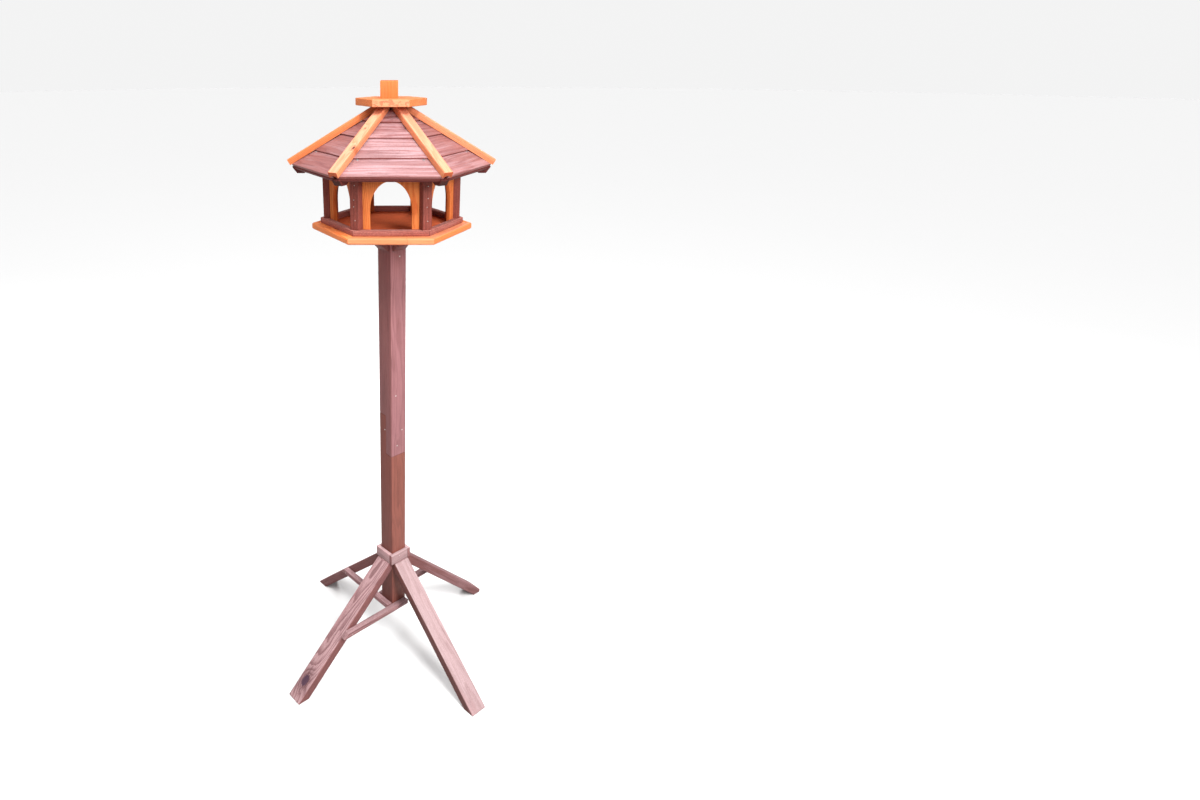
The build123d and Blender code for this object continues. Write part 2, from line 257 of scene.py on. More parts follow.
@dataclass(frozen=True)
class Bench:
    """Work on meshes as by hand: copying, parting, easing and marking.

    Args:
        frame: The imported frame.
        looks: The materials.
    """

    frame: dict[str, Any]
    looks: dict[Look, bpy.types.Material]

    @staticmethod
    def only(*pieces: Piece) -> None:
        """Select these pieces and nothing else; the first becomes the active one."""
        bpy.ops.object.select_all(action="DESELECT")
        for piece in pieces:
            piece.select_set(True)
        bpy.context.view_layer.objects.active = pieces[0]

    def copy_node(self, node: str) -> Piece:
        """Copy a node and clean the copy: merged, with its flat faces whole.

        Args:
            node: Name of the node.

        Returns:
            The copy, at the origin as the node is.
        """
        mesh = self.frame["nodes"][node].data.copy()
        piece = bpy.data.objects.new(f"{node}_timber", mesh)
        bpy.context.scene.collection.objects.link(piece)
        mesh.materials.clear()
        self.only(piece)
        with editing():
            bpy.ops.mesh.select_all(action="SELECT")
            bpy.ops.mesh.remove_doubles(threshold=0.00001)
            bpy.ops.mesh.dissolve_limited(angle_limit=math.radians(0.6))
            bpy.ops.mesh.normals_make_consistent(inside=False)
        return piece

    def part(self, node: str, order: Callable[[Vector], float] = turn_of) -> list[Piece]:
        """Copy a node whose solids don't touch and part the copy into them.

        Args:
            node: Name of the node.
            order: Gives the number by which a solid's middle is sorted.

        Returns:
            The solids, in order.
        """
        piece = self.copy_node(node)
        before = set(bpy.data.objects)
        with editing():
            bpy.ops.mesh.select_all(action="SELECT")
            bpy.ops.mesh.separate(type="LOOSE")
        solids = [piece] + [thing for thing in bpy.data.objects if thing not in before]
        return sorted(solids, key=lambda solid: order(self.middle(solid)))

    @staticmethod
    def middle(piece: Piece) -> Vector:
        """Return the middle of a piece's box."""
        points = [vertex.co for vertex in piece.data.vertices]
        low = [min(point[axis] for point in points) for axis in range(3)]
        high = [max(point[axis] for point in points) for axis in range(3)]
        return (Vector(low) + Vector(high)) / 2

    def bevel_where(
        self, piece: Piece, test: Callable[[Vector, Vector], bool], width: float, segments: int
    ) -> None:
        """Bevel the edges that a test picks.

        Args:
            piece: The piece.
            test: Takes an edge's middle and its unit direction.
            width: Width of the bevel on each side.
            segments: Number of faces across the bevel.
        """
        self.only(piece)
        with editing():
            bpy.ops.mesh.select_mode(type="EDGE")
            bpy.ops.mesh.select_all(action="DESELECT")
        mesh = piece.data
        for edge in mesh.edges:
            first, second = (mesh.vertices[index].co for index in edge.vertices)
            if test((first + second) / 2, (second - first).normalized()):
                edge.select = True
        with editing():
            bpy.ops.mesh.bevel(offset=width, segments=segments, affect="EDGES", profile=0.5)

    def ease(self, piece: Piece, width: float, segments: int = 2) -> Piece:
        """Ease the arrises of a piece, from 40 degrees on, and smooth what is round.

        Args:
            piece: The piece.
            width: Width of the easing.
            segments: Number of faces across it.

        Returns:
            The piece.
        """
        self.only(piece)
        bevel = piece.modifiers.new("eased", "BEVEL")
        bevel.width = width
        bevel.segments = segments
        bevel.limit_method = "ANGLE"
        bevel.angle_limit = math.radians(40.0)
        bevel.miter_outer = "MITER_ARC"
        bpy.ops.object.modifier_apply(modifier=bevel.name)
        self.smooth(piece)
        return piece

    def smooth(self, piece: Piece) -> None:
        """Shade a piece smooth across its shallow edges."""
        self.only(piece)
        bpy.ops.object.shade_smooth_by_angle(angle=math.radians(35.0))

    @staticmethod
    def mark(piece: Piece, timber: Timber, wear_and_painted_light: ToneAndPaintedLight) -> None:
        """Write the log place, the grain and the tone of every point, and the painted light and shade of
        every face.

        Args:
            piece: The piece.
            timber: The timber that it is made of.
            wear_and_painted_light: Its tone and its painted light and shade.
        """
        mesh = piece.data
        count = len(mesh.vertices)
        places = [part for vertex in mesh.vertices for part in timber.place(vertex.co)]
        mesh.attributes.new("log_place", "FLOAT_VECTOR", "POINT").data.foreach_set("vector", places)
        grain = list(timber.grain.normalized()) * count
        mesh.attributes.new("grain_way", "FLOAT_VECTOR", "POINT").data.foreach_set("vector", grain)
        mesh.attributes.new("tone", "FLOAT", "POINT").data.foreach_set("value", [wear_and_painted_light.tone] * count)
        # Each face's share of painted light and shade, from the way it looks.
        painted_light = [wear_and_painted_light.painted_light_on(polygon.normal) for polygon in mesh.polygons]
        mesh.attributes.new("painted_light", "FLOAT", "FACE").data.foreach_set("value", painted_light)

    def dress(self, piece: Piece, name: str, stain: Stain, look: Look, replaced: Sequence[str] = ()) -> None:
        """Name a piece, give it its finish and fix it to the frame.

        Args:
            piece: The finished piece.
            name: Its name.
            stain: The record's slot that it belongs to; not used.
            look: Its finish.
            replaced: Nodes that it stands for.
        """
        piece.name = name
        piece.data.name = name
        piece.data.materials.clear()
        piece.data.materials.append(self.looks[look])
        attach(piece, "root")
        if replaced:
            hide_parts(*replaced)
        log.info("%s: %d faces", name, len(piece.data.polygons))

    def make(
        self,
        batch: Batch,
        index: int,
        grain: Vector,
        face: Vector,
        wear_and_painted_light: ToneAndPaintedLight = ToneAndPaintedLight(),
        piece: Piece | None = None,
        **lie: Any,
    ) -> None:
        """Make one timber of a batch.

        Args:
            batch: The batch.
            index: Number of the timber, from nought.
            grain: Direction of its grain.
            face: Direction of its broad face.
            wear_and_painted_light: Its tone and its painted light and shade.
            piece: Its solid, if it has no node of its own.
            lie: Its origin and heart, where they aren't its middle and the batch's.
        """
        node = batch.node.format(index + 1)
        piece = self.ease(piece or self.copy_node(node), batch.easing, batch.segments)
        lie = {"origin": self.middle(piece), "heart": batch.heart, **lie}
        self.mark(piece, Timber(batch.lot + index, grain, face, **lie), wear_and_painted_light)
        self.dress(piece, batch.name.format(index + 1), batch.stain, batch.look, [node])


class Sock:
    """A node's output with Python's operators, each of which adds a Math node."""

    def __init__(self, ply: Ply, socket: bpy.types.NodeSocket) -> None:
        """Keep the tree and the output."""
        self.ply = ply
        self.socket = socket

    def math(self, operation: str, *others: Any) -> Sock:
        """Return the result of a Math node whose first value is this one."""
        return self.ply.math(operation, self, *others)

    def __add__(self, other: Any) -> Sock:
        """Add."""
        return self.math("ADD", other)

    __radd__ = __add__

    def __mul__(self, other: Any) -> Sock:
        """Multiply."""
        return self.math("MULTIPLY", other)

    __rmul__ = __mul__

    def __sub__(self, other: Any) -> Sock:
        """Subtract."""
        return self.math("SUBTRACT", other)

    def __rsub__(self, other: Any) -> Sock:
        """Subtract from a number."""
        return self.ply.math("SUBTRACT", other, self)

    def __truediv__(self, other: Any) -> Sock:
        """Divide."""
        return self.math("DIVIDE", other)

    def __rtruediv__(self, other: Any) -> Sock:
        """Divide a number."""
        return self.ply.math("DIVIDE", other, self)

    def split(self) -> tuple[Sock, Sock, Sock]:
        """Return the three parts of a vector."""
        node = self.ply.add("ShaderNodeSeparateXYZ", {}, {0: self}).socket.node
        return tuple(Sock(self.ply, output) for output in node.outputs[:3])


@dataclass(frozen=True)
class Layer:
    """One layer of a finish's figure.

    Args:
        cycles: How often it changes in a metre along, across and through the log.
        detail: Number of finer noises that are added.
        rough: How strong those are.
    """

    cycles: Triple
    detail: float = 2.0
    rough: float = 0.5


class Ply:
    """A node tree, built from expressions."""

    def __init__(self, tree: bpy.types.NodeTree) -> None:
        """Empty the tree."""
        self.tree = tree
        self.tree.nodes.clear()

    def add(self, kind: str, settings: dict[str, Any], sockets: dict[Any, Any], output: Any = 0) -> Sock:
        """Add a node.

        Args:
            kind: The node's type.
            settings: Its properties.
            sockets: Values or links of its inputs, by number or name.
            output: Number or name of the output that is wanted.

        Returns:
            That output.
        """
        node = self.tree.nodes.new(kind)
        for key, value in settings.items():
            setattr(node, key, value)
        for key, value in sockets.items():
            if isinstance(value, Sock):
                self.tree.links.new(value.socket, node.inputs[key])
            elif isinstance(value, tuple) and node.inputs[key].type == "RGBA":
                node.inputs[key].default_value = (*value, 1.0)
            else:
                node.inputs[key].default_value = value
        return Sock(self, node.outputs[output])

    def math(self, operation: str, *values: Any) -> Sock:
        """Return the result of a Math node."""
        return self.add("ShaderNodeMath", {"operation": operation}, dict(enumerate(values)))

    def attribute(self, name: str, output: str = "Fac") -> Sock:
        """Return an attribute of the piece."""
        return self.add("ShaderNodeAttribute", {"attribute_name": name}, {}, output)

    def vector(self, operation: str, *values: Any, output: str = "Vector") -> Sock:
        """Return the result of a Vector Math node."""
        return self.add("ShaderNodeVectorMath", {"operation": operation}, dict(enumerate(values)), output)

    def noise(self, place: Any, layer: Layer, output: str = "Fac") -> Sock:
        """Return the noise of a layer, read at a place."""
        read = self.vector("MULTIPLY", place, layer.cycles)
        sockets = {"Vector": read, "Scale": 1.0, "Detail": layer.detail, "Roughness": layer.rough}
        return self.add("ShaderNodeTexNoise", {"noise_dimensions": "3D"}, sockets, output)

    def rise(self, value: Any, span: Span, top: float = 1.0) -> Sock:
        """Return a smooth step from 0 at the start of a span of the value to the top at its end."""
        sockets = {"Value": value, "From Min": span[0], "From Max": span[1], "To Min": 0.0, "To Max": top}
        return self.add("ShaderNodeMapRange", {"interpolation_type": "SMOOTHSTEP"}, sockets)

    def blend(self, factor: Any, first: Any, second: Any, way: str = "MIX") -> Sock:
        """Return two colours mixed by the share of the second."""
        settings = {"data_type": "RGBA", "blend_type": way, "clamp_factor": True}
        return self.add("ShaderNodeMix", settings, {0: factor, 6: first, 7: second}, 2)

    def bump(self, height: Sock, distance: float) -> Sock:
        """Return the normal of a bumped surface."""
        return self.add("ShaderNodeBump", {}, {"Distance": distance, "Height": height}, "Normal")

    def close(self, kind: str, surface: Sock) -> None:
        """Link the surface to an output node of a type."""
        output = self.tree.nodes.new(kind)
        self.tree.links.new(surface.socket, output.inputs["Surface"])


def make_material(name: str, sockets: Callable[[Ply], dict[str, Any]]) -> bpy.types.Material:
    """Make a material with one Principled shader.

    Args:
        name: Its name.
        sockets: Builds the rest of its tree and returns the shader's inputs.

    Returns:
        The material.
    """
    material = bpy.data.materials.new(name)
    material.use_nodes = True
    ply = Ply(material.node_tree)
    surface = ply.add("ShaderNodeBsdfPrincipled", {}, sockets(ply))
    ply.close("ShaderNodeOutputMaterial", surface)
    return material


WANDER = Layer((2.6, 11.0, 11.0))
DRIFT = Layer((1.0, 55.0, 55.0), 1.0)
FIBRE = Layer((26.0, 1500.0, 1500.0), 3.0, 0.6)
STRAND = Layer((7.0, 330.0, 330.0), 3.0, 0.55)
PATCH = Layer((4.0, 26.0, 26.0), 3.0, 0.55)
BROAD = Layer((1.7, 9.0, 9.0))
SPECK = Layer((420.0, 620.0, 620.0), 2.0, 0.6)
PORES = Layer((95.0, 2300.0, 2300.0), 1.0)
SHEEN_STREAK_NOISE = Layer((5.0, 210.0, 210.0), 3.0, 0.6)
RAGGED = Layer((260.0, 260.0, 30.0))
TARNISH = Layer((900.0, 900.0, 900.0), 3.0, 0.6)


@dataclass(frozen=True)
class Knot:
    """A knot through a timber.

    Args:
        lot: Number of the timber.
        along: Distance along the grain from the timber's origin.
        across: Distance across the face from the pith.
        radius: Radius of the dark heart of the knot.
    """

    lot: int
    along: float
    across: float
    radius: float


@dataclass(frozen=True)
class Splice:
    """A finger joint, where the batten goes on in other wood.

    Args:
        lot: Number of the timber.
        along: Where it lies along the grain from the timber's origin.
        finger: Length of the fingers.
        pitch: Width of a finger and its gap.
        reach: How far the other wood goes on.
        shift: How far off in the log the other wood was sawn.
        tone: How much paler it is.
    """

    lot: int
    along: float
    finger: float = 0.004
    pitch: float = 0.0075
    reach: float = 0.3
    shift: Triple = (47.3, 0.011, -0.02)
    tone: float = 0.04


@dataclass(frozen=True)
class Figure:
    """The figure of the wood at each point.

    Args:
        bent: Place in the log, bent as the rings are.
        late: Late wood.
        fibre: Fine fibres.
        strand: Coarser strands.
        patch: Patches as wide as a batten.
        speck: Specks.
        pores: Short dark pores.
    """

    bent: Sock
    late: Sock
    fibre: Sock
    strand: Sock
    patch: Sock
    speck: Sock
    pores: Sock


@dataclass(frozen=True)
class PineFinish:
    """Stained pine whose figure comes from the growth rings of a log.

    Args:
        early: Colour of the soft early wood.
        late: Colour of the hard late wood.
        streak: Colour of the dark streaks along the grain.
        worn: Colour where the stain is thin or worn.
        end: Colour of the end grain.
        pale: Colour painted on the sides that a timber's painted light picks: painted light on lit sides, and
            painted shade, deeper than the early wood, on the walls' inner sides.
        hard: How much of that painted light and shade reaches the late wood.
        gloss: Strength of the reflection.
        ring: Width of a growth ring.
        curl: How far the rings curl.
        tight: How often the rings curl in a metre along the grain.
        contrast: How far the late wood shows.
        streaks: How far the streaks show.
        wear_and_painted_light: How far the worn patches show.
        mottle: How far the stain has settled in specks.
        dashes: How far the short dark pores show.
        rough: Roughness of the surface.
        relief: Depth of the grain.
        sawn: Depth of saw marks across the grain.
        sheen_streaks: How far whitish streaks along the grain show on the lit sides, as a painted sheen.
        sheen_colour: Colour of that painted sheen.
        eave_shade: How far painted shade under the eave darkens the stain high above the timber's origin.
        core: Colour of the dark hearts of the knots.
        coat: Weight of the clear coat.
        knots: Knots of its timbers.
        splices: Finger joints of its timbers.
    """

    early: Triple
    late: Triple
    streak: Triple
    worn: Triple
    end: Triple
    pale: Triple
    hard: float = 0.55
    gloss: float = 0.3
    ring: float = 0.0034
    curl: float = 0.0022
    tight: float = 22.0
    contrast: float = 0.6
    streaks: float = 0.4
    wear_and_painted_light: float = 0.3
    mottle: float = 0.0
    dashes: float = 0.3
    rough: float = 0.62
    relief: float = 0.0003
    sawn: float = 0.0
    sheen_streaks: float = 0.0
    sheen_colour: Triple = (228, 196, 208)
    eave_shade: float = 0.0
    core: Triple = (62, 34, 38)
    coat: float = 0.0
    knots: tuple[Knot, ...] = ()
    splices: tuple[Splice, ...] = ()

    def spliced(self, ply: Ply, place: Sock, tone: Sock) -> tuple[Sock, Sock, Sock | None]:
        """Carry the wood past each finger joint into another part of the log.

        Args:
            ply: The material's tree.
            place: The place in the log.
            tone: The tone.

        Returns:
            The place, the tone and the line of the joints.
        """
        line: Sock | None = None
        for splice in self.splices:
            along, across, _ = place.split()
            zigzag = (across / splice.pitch).math("PINGPONG", 0.5) * (2 * splice.finger)
            reach = along - (splice.lot * LOT_PITCH + splice.along) - zigzag
            beyond = reach.math("GREATER_THAN", 0.0) * reach.math("LESS_THAN", splice.reach)
            shift = {index: beyond * part for index, part in enumerate(splice.shift)}
            place = ply.vector("ADD", place, ply.add("ShaderNodeCombineXYZ", {}, shift))
            tone = tone + beyond * splice.tone
            seam = 1.0 - ply.rise(reach.math("ABSOLUTE"), (0.00015, 0.0005))
            line = seam if line is None else line + seam
        return place, tone, line

    def knotted(self, ply: Ply, place: Sock) -> tuple[Sock | None, Sock | None, Sock | None]:
        """Lay the knots in the wood.

        Args:
            ply: The material's tree.
            place: The place in the log.

        Returns:
            The pull of the knots on the rings, their dark hearts, and the shade about them.
        """
        pull: Sock | None = None
        heart: Sock | None = None
        about: Sock | None = None
        for knot in self.knots:
            centre = (-(knot.lot * LOT_PITCH + knot.along), -knot.across, 0.0)
            reach = ply.vector("MULTIPLY", ply.vector("ADD", place, centre), (0.62, 1.0, 0.0))
            ragged = ply.noise(place, RAGGED) - 0.5
            distance = ply.vector("LENGTH", reach, output="Value") / knot.radius + ragged * 0.5
            near = 1.0 / (1.0 + distance * distance * 0.32)
            core = 1.0 - ply.rise(distance, (0.75, 1.1))
            halo = 1.0 - ply.rise(distance, (0.9, 3.2))
            pull = near if pull is None else pull + near
            heart = core if heart is None else heart + core
            about = halo if about is None else about + halo
        return pull, heart, about

    def figure(self, ply: Ply, place: Sock, pull: Sock | None) -> Figure:
        """Grow the rings and lay the fibres along them.

        Args:
            ply: The material's tree.
            place: The place in the log.
            pull: The pull of the knots on the rings.

        Returns:
            The figure.
        """
        wander = ply.noise(place, WANDER, "Color")
        bent = ply.vector("ADD", place, ply.vector("MULTIPLY", wander, (0.0, 0.030, 0.030)))
        quiver = ply.noise(place, Layer((self.tight, 90.0, 90.0), 3.0), "Color")
        bent = ply.vector("ADD", bent, ply.vector("MULTIPLY", quiver, (0.0, self.curl, self.curl)))
        crosscut = ply.vector("MULTIPLY", bent, (0.0, 1.0, 1.0))
        count = ply.vector("LENGTH", crosscut, output="Value") / self.ring + ply.noise(crosscut, DRIFT) * 2.5
        if pull is not None:
            count = count + pull * 4.0
        phase = count.math("FRACT")
        return Figure(
            bent=bent,
            late=ply.rise(phase, (0.25, 0.86)) * (1.0 - ply.rise(phase, (0.90, 1.0))),
            fibre=ply.noise(bent, FIBRE),
            strand=ply.noise(bent, STRAND),
            patch=ply.noise(place, PATCH),
            speck=ply.noise(place, SPECK),
            pores=ply.rise(ply.noise(bent, PORES), (0.64, 0.74)),
        )

    def stained(self, ply: Ply, figure: Figure, painted_light: Sock) -> Sock:
        """Stain the wood, paint light and shade on its sides, and lay worn patches on it.

        Args:
            ply: The material's tree.
            figure: The figure.
            painted_light: How far the side takes the pale colour, as painted light and shade.

        Returns:
            The colour.
        """
        streak, worn, pale = shade(self.streak), shade(self.worn), shade(self.pale)
        patch, strand = figure.patch, figure.strand
        # Painted light and shade: the side's share draws early and late wood toward the pale colour.
        early = ply.blend(painted_light, shade(self.early), pale)
        late = ply.blend(painted_light * self.hard, shade(self.late), pale)
        colour = ply.blend(figure.late * self.contrast * (0.45 + patch * 1.1), early, late)
        colour = ply.blend(ply.rise(strand, (0.50, 0.78), self.streaks), colour, streak)
        colour = ply.blend(ply.rise(figure.fibre, (0.48, 0.80), self.streaks * 0.7), colour, streak)
        colour = ply.blend(ply.rise(patch + strand * 0.5, (0.72, 1.05), self.wear_and_painted_light), colour, worn)
        # Painted sheen: whitish streaks, on the lit sides only.
        if self.sheen_streaks:
            sheen_mask = ply.noise(figure.bent, SHEEN_STREAK_NOISE) + (patch - 0.5) * 0.6
            colour = ply.blend(ply.rise(sheen_mask, (0.46, 0.66), self.sheen_streaks) * painted_light, colour, shade(self.sheen_colour))
        if self.dashes:
            colour = ply.blend(figure.pores * self.dashes, colour, streak)
        if self.mottle:
            spots = ply.rise(figure.speck + patch * 0.35, (0.60, 0.85), self.mottle)
            colour = ply.blend(spots, colour, streak)
            paler = ply.rise(0.95 - figure.speck, (0.42, 0.70), self.mottle * 0.35)
            colour = ply.blend(paler, colour, worn)
        return colour

    def eave_shaded(self, ply: Ply, place: Sock, colour: Sock) -> Sock:
        """Return the colour with painted shade under the eave, deepening from 25 to 66 mm above the timber's
        origin.
        """
        lots = place.split()[0] / LOT_PITCH + 0.5
        above = (lots.math("FRACT") - 0.5) * LOT_PITCH
        return ply.blend(ply.rise(above, (0.025, 0.066), self.eave_shade), colour, shade(self.streak))

    def sockets(self, ply: Ply) -> dict[str, Any]:
        """Return the shader's inputs.

        Args:
            ply: The material's tree.

        Returns:
            Values or links by name.
        """
        place = ply.attribute("log_place", "Vector")
        place, tone, seam = self.spliced(ply, place, ply.attribute("tone"))
        pull, heart, about = self.knotted(ply, place)
        figure = self.figure(ply, place, pull)
        fibre, strand, late = figure.fibre, figure.strand, figure.late
        colour = self.stained(ply, figure, ply.attribute("painted_light"))
        height = fibre * 0.5 + strand * 0.35 - late * 0.35 - figure.pores * 0.5
        height = height + figure.speck * (0.25 + self.mottle)
        if heart is not None:
            flame = about * ply.rise(strand, (0.42, 0.62))
            colour = ply.blend(about * 0.35 + flame * 0.4, colour, shade(self.streak))
            colour = ply.blend(heart * (0.75 + fibre * 0.3), colour, shade(self.core))
            height = height - heart * 0.6
        # Painted shade under the eave.
        if self.eave_shade:
            colour = self.eave_shaded(ply, place, colour)

        normal = ply.add("ShaderNodeNewGeometry", {}, {}, "True Normal")
        facing = ply.vector("DOT_PRODUCT", normal, ply.attribute("grain_way", "Vector"), output="Value")
        end = ply.rise(facing.math("ABSOLUTE"), (0.87, 0.95))
        end_colour = ply.blend(late * 0.55 + figure.speck * 0.3, shade(self.end), shade(self.end, 0.45))
        colour = ply.blend(end * 0.85, colour, end_colour)
        if seam is not None:
            colour = ply.blend(seam * 0.75, colour, shade(self.streak, 0.4))
        lift = 0.86 + ply.noise(place, BROAD) * 0.28 + tone
        grey = ply.add("ShaderNodeCombineColor", {}, {0: lift, 1: lift, 2: lift})

        if self.sawn:
            along, across, _ = place.split()
            marks = ((along + across * 0.12) * 2300.0).math("SINE") * ply.rise(figure.patch, (0.35, 0.7))
            height = height + marks * self.sawn
        rough = self.rough + (fibre - 0.5) * 0.16 + end * 0.12 - late * 0.08
        return {
            "Base Color": ply.blend(1.0, colour, grey, "MULTIPLY"),
            "Roughness": rough.math("MINIMUM", 0.95),
            "Normal": ply.bump(height, self.relief),
            "Coat Weight": self.coat,
            "Coat Roughness": 0.35,
            "Specular IOR Level": self.gloss,
        }


@dataclass(frozen=True)
class MetalFinish:
    """Bare metal of the fixings.

    Args:
        colour: Linear colour where it is clean.
        dull: Linear colour where it has tarnished.
        rough: Roughness of the surface.
    """

    colour: Triple
    dull: Triple
    rough: float

    def sockets(self, ply: Ply) -> dict[str, Any]:
        """Return the shader's inputs."""
        tarnish = ply.noise(ply.add("ShaderNodeTexCoord", {}, {}, "Object"), TARNISH)
        return {
            "Base Color": ply.blend(ply.rise(tarnish, (0.45, 0.70)), self.colour, self.dull),
            "Roughness": self.rough + tarnish * 0.2,
            "Metallic": 0.85,
            "Normal": ply.bump(tarnish, 0.0001),
        }


@dataclass(frozen=True)
class FloorFinish:
    """Plain pale paper of the studio floor, which throws back less light than it shows.

    Args:
        colour: Linear colour that it shows.
        bounce: Linear colour of the light that it throws back.
    """

    colour: Triple = (0.745, 0.745, 0.745)
    bounce: Triple = (0.42, 0.42, 0.42)

    def sockets(self, ply: Ply) -> dict[str, Any]:
        """Return the shader's inputs."""
        colour = ply.blend(ply.add("ShaderNodeLightPath", {}, {}, "Is Camera Ray"), self.bounce, self.colour)
        return {"Base Color": colour, "Roughness": 0.9, "Specular IOR Level": 0.1}


# In each finish, pale is the colour of painted light on the sides that face the light.
HONEY = PineFinish(
    early=(232, 134, 77), late=(198, 84, 34), streak=(144, 58, 24),
    worn=(240, 164, 110), end=(198, 88, 50), pale=(234, 160, 128),
    gloss=0.14, ring=0.0027, contrast=0.66, streaks=0.42, wear_and_painted_light=0.40, dashes=0.40, rough=0.50, relief=0.00022,
    knots=(Knot(94, -0.035, -0.003, 0.0026), Knot(94, 0.03, 0.004, 0.0012), Knot(3, 0.02, 0.0, 0.004)),
    splices=(Splice(5, 0.0322),),
)
# The posts' plum darkens under the eave as painted shade.
PLUM = PineFinish(
    early=(148, 76, 65), late=(108, 50, 42), streak=(80, 35, 31),
    worn=(182, 114, 102), end=(88, 40, 36), pale=(178, 110, 110),
    gloss=0.2, contrast=0.5, streaks=0.45, mottle=0.35, rough=0.60, relief=0.0004, eave_shade=0.6,
)
LEG = PineFinish(
    early=(140, 90, 86), late=(100, 56, 58), streak=(80, 42, 46),
    worn=(190, 146, 148), end=(140, 90, 88), pale=(184, 150, 152), core=(66, 42, 60),
    hard=0.25, ring=0.0026, contrast=0.9, streaks=0.80, wear_and_painted_light=0.55, mottle=0.30, rough=0.74, relief=0.0013,
    sawn=0.10, knots=(Knot(83, 0.162, -0.006, 0.0105),),
)
FINISHES: dict[Look, PineFinish | MetalFinish] = {
    Look.HONEY: HONEY,
    # The walls' amber: its pale colour is painted shade on their inner sides, and it darkens under the eave
    # as painted shade.
    Look.AMBER: replace(
        HONEY,
        early=(234, 134, 73), late=(198, 82, 34), streak=(142, 56, 22),
        worn=(238, 150, 84), pale=(140, 50, 22),
        hard=0.8, eave_shade=0.6, gloss=0.12, contrast=0.6, wear_and_painted_light=0.25, knots=(), splices=(),
    ),
    Look.FIGURED: replace(
        HONEY,
        early=(232, 140, 86), pale=(238, 184, 156), late=(176, 86, 46),
        curl=0.010, tight=75.0, ring=0.0034, contrast=0.95, knots=(), splices=(),
    ),
    Look.PLUM: PLUM,
    Look.DEEP_PLUM: replace(
        PLUM,
        early=(113, 48, 43), late=(86, 35, 32), streak=(62, 26, 25),
        worn=(142, 76, 68), end=(76, 42, 34), eave_shade=0.0,
    ),
    Look.ROSY_PLUM: replace(
        PLUM,
        early=(164, 91, 80), late=(122, 60, 52), worn=(206, 140, 128), pale=(202, 136, 126),
        contrast=0.6, wear_and_painted_light=0.45, eave_shade=0.0,
    ),
    # Roof boards: painted light, with whitish streaks of painted sheen, on the lit slopes.
    Look.ROOF: PineFinish(
        early=(157, 87, 80), late=(124, 60, 58), streak=(96, 46, 50),
        worn=(204, 150, 148), end=(110, 58, 58), pale=(157, 116, 117), sheen_colour=(196, 164, 170),
        ring=0.0046, contrast=0.75, streaks=0.50, sheen_streaks=0.55, wear_and_painted_light=0.45, dashes=0.2, mottle=0.12,
        rough=0.52, relief=0.0005, sawn=0.12, coat=0.12, knots=(Knot(58, 0.035, 0.012, 0.0045),),
    ),
    Look.FLOOR: PineFinish(
        early=(240, 120, 76), late=(206, 86, 50), streak=(160, 56, 34),
        worn=(244, 142, 94), end=(110, 46, 34), pale=(240, 114, 66),
        gloss=0.04, contrast=0.5, rough=0.85, wear_and_painted_light=0.2, mottle=0.2,
    ),
    Look.MAST: PineFinish(
        early=(131, 73, 67), late=(99, 50, 46), streak=(74, 36, 34),
        worn=(158, 102, 96), end=(92, 50, 46), pale=(164, 114, 118),
        streaks=0.5, wear_and_painted_light=0.35, rough=0.58,
    ),
    Look.RED_MAST: PineFinish(
        early=(116, 64, 57), late=(88, 43, 37), streak=(66, 31, 27),
        worn=(142, 90, 78), end=(80, 40, 34), pale=(138, 82, 70),
        streaks=0.45, rough=0.56,
    ),
    Look.LEG: LEG,
    Look.PALE_LEG: replace(
        LEG,
        early=(114, 68, 62), late=(90, 50, 46), pale=(177, 150, 151),
        hard=0.65, ring=0.0046, contrast=0.6, streaks=0.40, mottle=0.20, relief=0.0006, knots=(),
    ),
    Look.BRIGHT: MetalFinish((0.74, 0.70, 0.66), (0.40, 0.36, 0.33), 0.34),
    Look.ZINC: MetalFinish((0.30, 0.27, 0.28), (0.17, 0.14, 0.15), 0.5),
    # Near-black heads that stand for the painted shade in the mast's countersunk screw holes.
    Look.DARK: MetalFinish((0.12, 0.09, 0.09), (0.05, 0.035, 0.03), 0.6),
}


